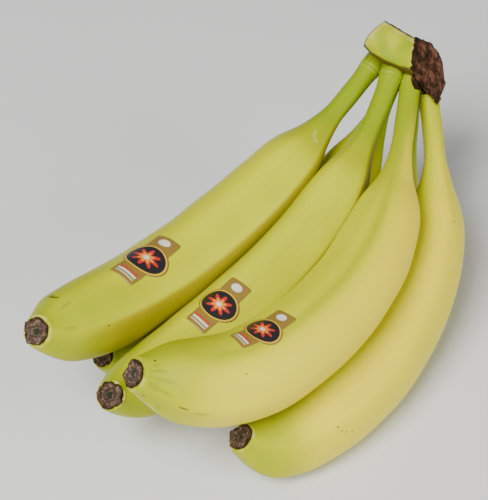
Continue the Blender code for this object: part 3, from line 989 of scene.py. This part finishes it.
class Banana:
    """One finger with its collar at the crown and its corky blossom end."""

    def __init__(self, name: str, finger: Finger, crown: Crown) -> None:
        """Keep the finger's body and the crown that it grows from."""
        self.name = name
        self.finger = finger
        self.body = Body(finger)
        self.crown = crown

    def build(self, material: bpy.types.Material) -> bpy.types.Object:
        """Make the finger.

        Args:
            material: The skin's material.

        Returns:
            The finger's skin from its sunk root to its blossom end.
        """
        length = self.finger.length
        around = circle(PEEL.sides)
        skin = np.concatenate([np.linspace(PEEL.root, 0.09, 110)[:-1], np.linspace(0.09, 0.86, 180)[:-1],
                               np.linspace(0.86, PEEL.cap_start, 60)])
        station, angle = np.meshgrid(skin, around, indexing="ij")
        collar = sum(bell(station * length, place, PEEL.collar_width) for place in self.finger.collars)
        collar = np.clip(collar, 0.0, 1.0)
        plain = self.body.surface(station, angle)
        patchy = np.clip(0.25 + 0.25 * Waves(self.finger.seed + 90, 7.0).at(plain), 0.0, 0.7)
        torn = self.crown.torn(self.crown.plane(plain)) * (1 - ease(*PEEL.torn_fall, station))
        strand = self.crown.strand(self.crown.plane(plain))
        ragged = torn * (0.55 + 0.25 * Waves(71, (2.6, 8.0, 5.0)).at(strand))
        rings = self.body.surface(station, angle, PEEL.collar_height * collar + ragged)
        cap_points, cap_cork, cap_station = self.blossom_end(around)
        rings = np.concatenate([rings, cap_points])
        rings[..., 2] = np.maximum(rings[..., 2], 0.0)
        station = np.concatenate([station, cap_station])
        angle = np.concatenate([angle, np.broadcast_to(around, cap_station.shape)])
        none = np.zeros(cap_station.shape)
        cork = np.concatenate([np.zeros(len(skin)), cap_cork])
        uneven = np.clip(0.5 + 0.6 * Waves(self.finger.seed + 30, 6.0).at(cap_points), 0.0, 1.0)
        dry = bell(cap_cork, 0.74, 0.18)[:, None] * 0.65 * uneven
        points = np.concatenate([rings.reshape(-1, 3), np.stack([rings[0].mean(0), rings[-1].mean(0)])])
        marks = {
            "flow": self.to_points(unroll(self.finger, station, angle)) * MM,
            "strand": self.crown.strand(self.crown.plane(points)) * MM,
            "unripe": self.to_points(self.unripe(station, angle)),
            # Tan band: ripening colour and painted highlight on the bright side.
            "tan_and_highlight": self.to_points(self.patch(self.finger.tan_and_highlight, station, angle, PEEL.tan_and_highlight_fade)),
            # Olive painted shade on the flank that lies in shadow.
            "painted_shade": self.to_points(self.patch(self.finger.painted_shade, station, angle, PEEL.painted_shade_fade)),
            "pale": self.to_points(np.concatenate([0.75 * collar * patchy, dry])),
            # Dark brown on the stem just where it goes into the crown.
            "scar_and_shadow": self.to_points(0.5 * (1 - ease(0.0, 0.012, station))),
            "dried": self.to_points(np.concatenate([torn, none])),
            "cork": np.concatenate([np.broadcast_to(cork[:, None], station.shape).ravel(), [0.0, 2.0]]),
        }
        faces = tube_faces(len(rings), PEEL.sides)
        return make_piece(f"finger_{self.name}", points, faces, material, marks)

    @staticmethod
    def to_points(values: Array) -> Array:
        """Flatten a grid of numbers or vectors and repeat its corners for the two end points."""
        flat = values.reshape(-1) if values.ndim == 2 else values.reshape(-1, 3)
        return np.concatenate([flat, flat[[0, -1]]])

    def blossom_end(self, around: Array) -> tuple[Array, Array, Array]:
        """Work out the corky end that closes the nose.

        Its rings follow a profile of (distance before the end, radius, cork), and their radius
        and depth carry seeded waves round the end, so that the rim is uneven.

        Args:
            around: The angles of a ring's points.

        Returns:
            The rings, how corky each is and their stations.
        """
        nose = float(self.body.plain_girth(np.array([PEEL.cap_start]))[0])
        length = self.finger.length
        start = (1 - PEEL.cap_start) * length
        rim = PEEL.cap_radius
        profile = np.array([
            (start * 0.78, nose * 0.96, 0.2), (start * 0.55, nose * 0.90, 0.5),
            (start * 0.40, (nose + rim) / 2, 0.75), (start * 0.31, rim * 1.02, 0.93),
            (start * 0.16, rim * 1.03, 1.02), (0.1, rim, 1.1),
            (-0.05, rim * 0.92, 1.15), (0.0, rim * 0.80, 1.3), (0.5, rim * 0.66, 1.4),
            (0.4, rim * 0.52, 1.55), (0.9, rim * 0.36, 1.7), (0.7, rim * 0.22, 1.85),
            (0.3, rim * 0.10, 2.0)])
        knots = np.arange(len(profile))
        at = np.linspace(0, len(profile) - 1, 44)
        before, radius, cork = (smooth_curve(knots, profile[:, column], at) for column in range(3))
        station = np.broadcast_to((1 - before / length)[:, None], (len(at), len(around)))
        angle = np.broadcast_to(around, station.shape)
        out = self.body.outward(station, angle)
        plain = self.body.centre(station) + radius[:, None, None] * out
        rough = Waves(self.finger.seed + 50, 3.2).at(plain)
        crumbs = Waves(self.finger.seed + 70, 1.1).at(plain)
        share = ease(0.7, 1.0, cork)[:, None]
        seed = self.finger.seed
        lobes = 0.30 * np.cos(5 * angle + seed) + 0.25 * np.cos(3 * angle + 2 * seed)
        lobes = lobes * radius[:, None] / rim
        bumps = (share * (lobes + 0.20 * rough + 0.09 * crumbs))[..., None]
        ahead = self.body.read(self.body.run, station)
        return plain + out * bumps * 0.8 + ahead * bumps * 0.6, cork, station

    def unripe(self, station: Array, angle: Array) -> Array:
        """Return how green the skin is.

        It is most on the stem, less on the nose and least between, with more in the hollows
        between the ridges and on a green ridge.

        Args:
            station: The points' stations.
            angle: The points' angles.

        Returns:
            A number from 0 to 1 for each point.
        """
        stem = self.finger.green_stem * (1 - ease(*PEEL.stem_green_fall, station))
        nose = ease(*PEEL.nose_green_rise, station) * PEEL.green_nose
        ridges = self.finger.ridges
        stripe = sum(ridge.green * self.body.on_ridge(ridge, station, angle, PEEL.stripe_width)
                     for ridge in ridges)
        full = ease(*PEEL.stripe_rise, station)
        stripe = stripe * full * (1 - ease(*PEEL.stripe_fall, station))
        crest = sum(self.body.on_ridge(ridge, station, angle) for ridge in ridges)
        hollows = PEEL.green_hollows * (1 - np.clip(crest, 0.0, 1.0)) * full
        return np.clip(np.maximum(stem, nose) + self.finger.unripe + stripe + hollows, 0.0, 1.0)

    @staticmethod
    def patch(look: tuple[float, float, float, float], station: Array, angle: Array, fade: float) -> Array:
        """Return a band of colour along the finger.

        Args:
            look: Its strength, its middle near the neck and near the tip, and its half width.
            station: The points' stations.
            angle: The points' angles round the finger.
            fade: The share of the half width over which each side fades.

        Returns:
            The strength at each point.
        """
        strength, near, far, width = look
        middle = np.radians(np.interp(station, PEEL.ridge_stations, (near, far)))
        away = np.abs((angle - middle + pi) % (2 * pi) - pi)
        facing = 1 - ease(radians(width) * (1 - fade), radians(width) * (1 + fade), away)
        present = ease(*PEEL.patch_rise, station) * (1 - ease(*PEEL.patch_fall, station))
        return strength * facing * present


@dataclass(frozen=True)
class LabelFinish:
    """Coated gold brown paper with a rosette in an oval, a cream spot, two bands and a ripple.

    Lengths are in millimetres. Disc is the oval's half length along the strip, and stretch is
    how much wider it is across. A petal gives its mean reach and its wave, a band its place along
    the strip and its half width, the ripple its place, its wave and its half width, and reach is
    how far both go across. The pace is how fast the ripple waves, in radians a millimetre.
    """

    ground: Colour = (0.33, 0.20, 0.030)
    dark: Colour = (0.020, 0.016, 0.018)
    ring: Colour = (0.85, 0.52, 0.02)
    red: Colour = (0.55, 0.035, 0.02)
    orange: Colour = (0.85, 0.30, 0.03)
    cream: Colour = (0.80, 0.75, 0.66)
    disc: float = 7.45
    ring_width: float = 0.55
    stretch: float = 1.186
    petals: int = 8
    petal: tuple = (4.1, 1.35)
    inner_petal: tuple = (2.6, 0.7)
    heart: float = 1.1
    bands: tuple = ((12.6, 0.55), (14.3, 0.25))
    ripple: tuple = (10.9, 0.25, 0.45)
    pace: float = 2.2
    reach: float = 4.6
    spot_at: float = -12.6
    roughness: float = 0.36
    specular: float = 0.5
    relief: float = 0.00003
    grain_cover: float = 0.30

    def make(self) -> bpy.types.Material:
        """Build the material from the label's own coordinates, in millimetres."""
        tree = ShaderTree("label_paper")
        where = tree.place("print")
        along, across, _ = tree.axes(where)
        narrow = across / self.stretch
        radius = (along * along + narrow * narrow).power(0.5)
        angle = along.math("ARCTAN2", narrow, along)
        grain = tree.noise(where, 3.0, 3.0, 0.6)
        inside = abs(across).within(self.reach)
        bands = [(abs(along - place).within(half) * inside, self.cream) for place, half in self.bands]
        place, sway, half = self.ripple
        wave = across.math("SINE", across * self.pace) * sway
        ripple = abs(along - place - wave).within(half) * inside
        spot = ((along - self.spot_at).power(2.0) * 1.6 + across.power(2.0)).within(7.5, 0.6)
        lobes = angle.math("COSINE", angle * self.petals)
        petals = [((radius - lobes * sway).within(reach, 0.1), tint)
                  for (reach, sway), tint in ((self.petal, self.red), (self.inner_petal, self.orange))]
        colour = tree.layers(
            self.ground, (grain * self.grain_cover, self.dark), *bands, (ripple, self.red),
            (spot, self.cream), (radius.within(self.disc + self.ring_width), self.ring),
            (radius.within(self.disc), self.dark), *petals, (radius.within(self.heart), self.cream))
        fixed = {"Specular IOR Level": self.specular}
        return tree.finish(colour, self.roughness, grain, self.relief, fixed)


@dataclass(frozen=True)
class Label:
    """A paper label: a strip crossed by an oval disc, bent to the skin of its finger.

    Station and around are the place of its middle, turn is its angle to the finger and size
    multiplies its outline.
    """

    node: str
    finger: str
    station: float
    around: float
    turn: float
    size: float
    length: float = 33.0
    width: float = 12.0
    disc: tuple[float, float] = (17.2, 20.4)
    gap: float = 0.10
    thickness: float = 0.16
    squareness: float = 22.0
    rings: int = 26
    sides: int = 288

    def edge(self, angle: Array) -> Array:
        """Return the outline's reach at each angle: the strip's or the oval's, whichever is further.

        The strip is a block whose corners are rounded by a high power.

        Args:
            angle: The angles, counted from the strip's length.

        Returns:
            The reach in millimetres.
        """
        power = self.squareness
        strip = ((np.abs(np.cos(angle)) / (self.length / 2)) ** power
                 + (np.abs(np.sin(angle)) / (self.width / 2)) ** power) ** (-1 / power)
        along, across = self.disc
        oval = np.hypot(np.cos(angle) / (along / 2), np.sin(angle) / (across / 2)) ** -1
        return np.maximum(strip, oval)

    def build(self, body: Body, material: bpy.types.Material) -> bpy.types.Object:
        """Make the label as two sheets that share a rim.

        Args:
            body: The finger that it is stuck to.
            material: The paper's material.

        Returns:
            The label.
        """
        angle = circle(self.sides)
        edge = self.edge(angle)
        share = np.linspace(0.02, 1.0, self.rings)
        reach = np.concatenate([share, share[::-1]])[:, None] * edge
        lift = np.repeat([self.gap + self.thickness, self.gap], self.rings)
        along, across = reach * np.cos(angle), reach * np.sin(angle)
        turned = radians(self.turn)
        forward = self.size * (along * np.cos(turned) - across * np.sin(turned))
        sideways = self.size * (along * np.sin(turned) + across * np.cos(turned))
        station = self.station + forward / body.finger.length
        around = radians(self.around) + sideways / body.finger.girth
        rings = body.surface(station, around, np.broadcast_to(lift[:, None], station.shape))
        ends = np.stack([rings[0].mean(0), rings[-1].mean(0)])
        points = np.concatenate([rings.reshape(-1, 3), ends])
        faces = [tuple(reversed(face)) for face in tube_faces(len(rings), self.sides)]
        print_place = np.stack([along, across, np.zeros_like(along)], -1).reshape(-1, 3)
        marks = {"print": np.concatenate([print_place, np.zeros((2, 3))])}
        return make_piece(f"{self.node}_paper", points, faces, material, marks)


LABELS = (
    Label("label_left", "upper_left", 0.741, -4.2, -5.0, 1.08),
    Label("label_middle", "upper_middle", 0.727, -42.8, -2.0, 0.94),
    Label("label_right", "upper_right", 0.756, -52.0, -1.0, 0.92),
)


@dataclass(frozen=True)
class Lamp:
    """A soft square light that looks at the bunch."""

    name: str
    azimuth: float
    elevation: float
    distance: float
    size: float
    power: float

    def make(self, aim: Vector) -> None:
        """Place the light on a sphere round the aim.

        Args:
            aim: The point that it looks at, in metres.
        """
        light = bpy.data.lights.new(self.name, "AREA")
        light.shape = "SQUARE"
        light.size = self.size
        light.energy = self.power
        lamp = add_object(self.name, light)
        azimuth, elevation = radians(self.azimuth), radians(self.elevation)
        flat = np.cos(elevation)
        away = Vector((np.sin(azimuth) * flat, -np.cos(azimuth) * flat, np.sin(elevation)))
        lamp.location = aim + away * self.distance
        lamp.rotation_euler = away.to_track_quat("Z", "Y").to_euler()


@dataclass(frozen=True)
class Studio:
    """The pale floor, the soft light and the camera."""

    eye: tuple = (-6.0, -447.64, 495.37)
    target: tuple = (-6.0, 24.0, 23.73)
    lens: float = 100.0
    sensor: float = 36.0
    floor_size: float = 6.0
    floor_colour: Colour = (0.82, 0.82, 0.815)
    sky: float = 0.17
    lamps: tuple = (
        Lamp("key", azimuth=-36.0, elevation=52.0, distance=1.6, size=0.8, power=37.0),
        Lamp("fill", azimuth=62.0, elevation=24.0, distance=1.6, size=0.7, power=11.0),
    )

    def make(self) -> None:
        """Make the floor, the light and the camera."""
        self.make_floor()
        world = bpy.data.worlds.new("studio")
        world.use_nodes = True
        background = world.node_tree.nodes["Background"]
        background.inputs["Color"].default_value = (1.0, 1.0, 1.0, 1.0)
        background.inputs["Strength"].default_value = self.sky
        bpy.context.scene.world = world
        for lamp in self.lamps:
            lamp.make(Vector((0.0, 0.0, 0.04)))
        camera = bpy.data.cameras.new("camera")
        camera.lens = self.lens
        camera.sensor_width = self.sensor
        camera.clip_start = 0.01
        thing = add_object("camera", camera)
        thing.location = Vector(self.eye) * MM
        thing.rotation_euler = (Vector(self.eye) - Vector(self.target)).to_track_quat("Z", "Y").to_euler()
        bpy.context.scene.camera = thing

    def make_floor(self) -> None:
        """Make the plain pale floor."""
        half = self.floor_size / 2
        mesh = bpy.data.meshes.new("floor")
        corners = [(-half, -half, 0), (half, -half, 0), (half, half, 0), (-half, half, 0)]
        mesh.from_pydata(corners, [], [(0, 1, 2, 3)])
        tree = ShaderTree("floor_paint")
        shader = tree.wire("ShaderNodeBsdfPrincipled", {}, {
            "Base Color": (*self.floor_colour, 1.0), "Roughness": 0.9, "Specular IOR Level": 0.1})
        tree.node("ShaderNodeOutputMaterial", {}, {"Surface": shader})
        mesh.materials.append(tree.material)
        floor = add_object("floor", mesh)


def main() -> None:
    """Build the bunch, hang it on the frame and light it."""
    logging.basicConfig(level=logging.INFO)
    skin = SkinFinish().make()
    paper = LabelFinish().make()
    crown = Crown()
    pieces = [crown.build(skin)]
    bananas = {name: Banana(name, finger, crown) for name, finger in FINGERS.items()}
    pieces += [banana.build(skin) for banana in bananas.values()]
    for piece in pieces:
        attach(piece, "root")
        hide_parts("banana_hand")
        LOG.info("%s has %d faces", piece.name, len(piece.data.polygons))
    for label in LABELS:
        piece = label.build(bananas[label.finger].body, paper)
        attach(piece, "root")
        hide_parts(label.node)
        LOG.info("%s has %d faces", piece.name, len(piece.data.polygons))
    Studio().make()


if __name__ == "__main__":
    main()
